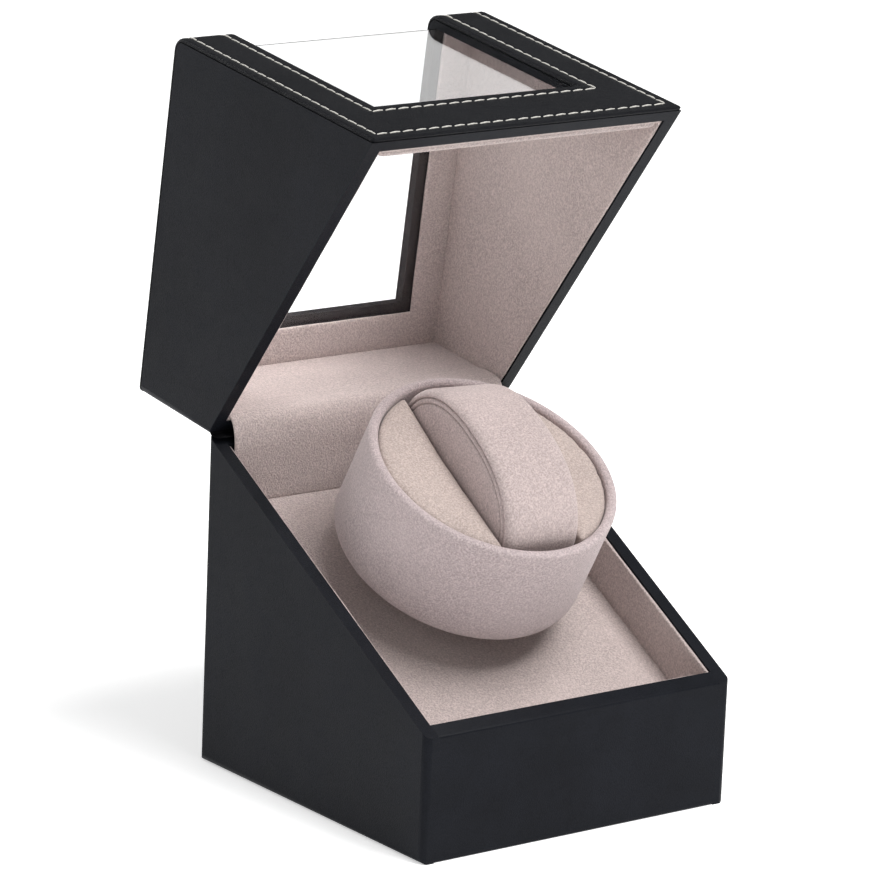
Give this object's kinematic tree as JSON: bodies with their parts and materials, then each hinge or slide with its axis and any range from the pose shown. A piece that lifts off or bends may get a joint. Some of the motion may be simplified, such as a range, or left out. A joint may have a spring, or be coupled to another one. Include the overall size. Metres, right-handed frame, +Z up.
{
  "type": "watch winder box",
  "caption": "Clamshell watch winder box with a slanted opening, windowed lid, velvet interior and a tilted turning cup that holds a removable watch pillow.",
  "frame": {"origin": "centre of the underside, on the surface the box stands on", "axes": "+X to the right seen from the front, +Y to the back where the lid is hinged, +Z up. At rest the lid stands open as in the picture."},
  "size_m": [0.125, 0.1671, 0.2414],
  "materials": {
    "black_leather": "black fine-grained artificial leather, soft sheen, stretched over board",
    "board": "raw fibreboard",
    "felt": "black felt",
    "velvet": "pale mauve-beige short-pile velvet",
    "brass": "turned brass",
    "black_plastic": "black moulded plastic, fine texture",
    "steel": "plated steel, satin",
    "motor_steel": "plain drawn steel can",
    "circuit_green": "green laminate with black parts",
    "trim_leather": "black grained artificial leather strip with pale stitching",
    "clear_sheet": "clear bent acrylic sheet, polished",
    "cushion_velvet": "beige short-pile velvet",
    "white_plastic": "natural acetal",
    "foam": "resilient foam"
  },
  "bodies": {
    "base": {"base_left_panel": "black_leather", "base_right_panel": "black_leather", "base_front_panel": "black_leather", "base_back_panel": "black_leather", "base_floor_panel": "board", "underside_felt": "felt", "base_left_lining": "velvet", "base_right_lining": "velvet", "base_front_lining": "velvet", "base_back_lining": "velvet", "deck_velvet": "velvet", "deck_board": "board", "deck_rails": "board", "shaft_bush": "brass", "gearbox_plate": "black_plastic", "gearbox_tray": "black_plastic", "gearbox_screws": "steel", "idler_pin": "steel", "motor_can": "motor_steel", "circuit_board": "circuit_green", "board_posts": "brass", "rear_plate": "black_plastic", "rear_plate_screws": "steel", "dc_jack": "black_plastic", "rocker_housing": "black_plastic", "hinge_leaves_base": "steel", "hinge_pins": "steel", "hinge_screws_base": "steel", "hinge_lining": "velvet"},
    "lid": {"lid_left_panel": "black_leather", "lid_right_panel": "black_leather", "lid_top_panel": "black_leather", "lid_front_panel": "black_leather", "lid_back_panel": "black_leather", "window_trim": "trim_leather", "lid_window": "clear_sheet", "lid_left_lining": "velvet", "lid_right_lining": "velvet", "lid_back_lining": "velvet", "lid_front_lining": "velvet", "lid_top_lining": "velvet", "hinge_leaves_lid": "steel", "hinge_screws_lid": "steel"},
    "drum": {"drum_cup": "black_plastic", "drum_floor": "black_plastic", "drum_cover": "velvet", "drum_cushion_left": "cushion_velvet", "drum_cushion_right": "cushion_velvet", "drum_hub": "white_plastic", "drum_hub_screws": "steel", "output_shaft": "steel", "drum_gear": "white_plastic"},
    "pillow": {"pillow_core": "foam", "pillow_band": "cushion_velvet", "pillow_end_left": "cushion_velvet", "pillow_end_right": "cushion_velvet"},
    "idler": {"idler_gear": "white_plastic"},
    "motor_rotor": {"motor_shaft": "steel", "motor_pinion": "brass"},
    "rocker": {"power_rocker": "black_plastic"}
  },
  "joints": [
    {"name": "lid_hinge", "type": "hinge", "parent": "base", "child": "lid", "pos_m": [0, 0.0625, 0.1125], "axis": [1, 0, 0], "range_deg": [-8, 82.5], "deforming": ["hinge_lining"]},
    {"name": "drum_spin", "type": "hinge", "parent": "base", "child": "drum", "pos_m": [0, 0.0145, 0.0658], "axis": [0, -0.4913, 0.871], "continuous": true},
    {"name": "pillow_lift", "type": "slide", "parent": "drum", "child": "pillow", "axis": [0, -0.4913, 0.871], "range_m": [0, 0.014]},
    {"name": "idler_spin", "type": "hinge", "parent": "base", "child": "idler", "pos_m": [0.02565, 0.02039, 0.05534], "axis": [0, -0.4913, 0.871], "continuous": true},
    {"name": "motor_spin", "type": "hinge", "parent": "base", "child": "motor_rotor", "pos_m": [0.02565, 0.00608, 0.04153], "axis": [0, -0.4913, 0.871], "continuous": true},
    {"name": "rocker_throw", "type": "hinge", "parent": "base", "child": "rocker", "pos_m": [0.03, 0.0615, 0.028], "axis": [1, 0, 0], "range_deg": [0, 18]}
  ],
  "couplings": [
    {"joint": "idler_spin", "follows": "drum_spin", "ratio": -3},
    {"joint": "motor_spin", "follows": "drum_spin", "ratio": 9}
  ]
}
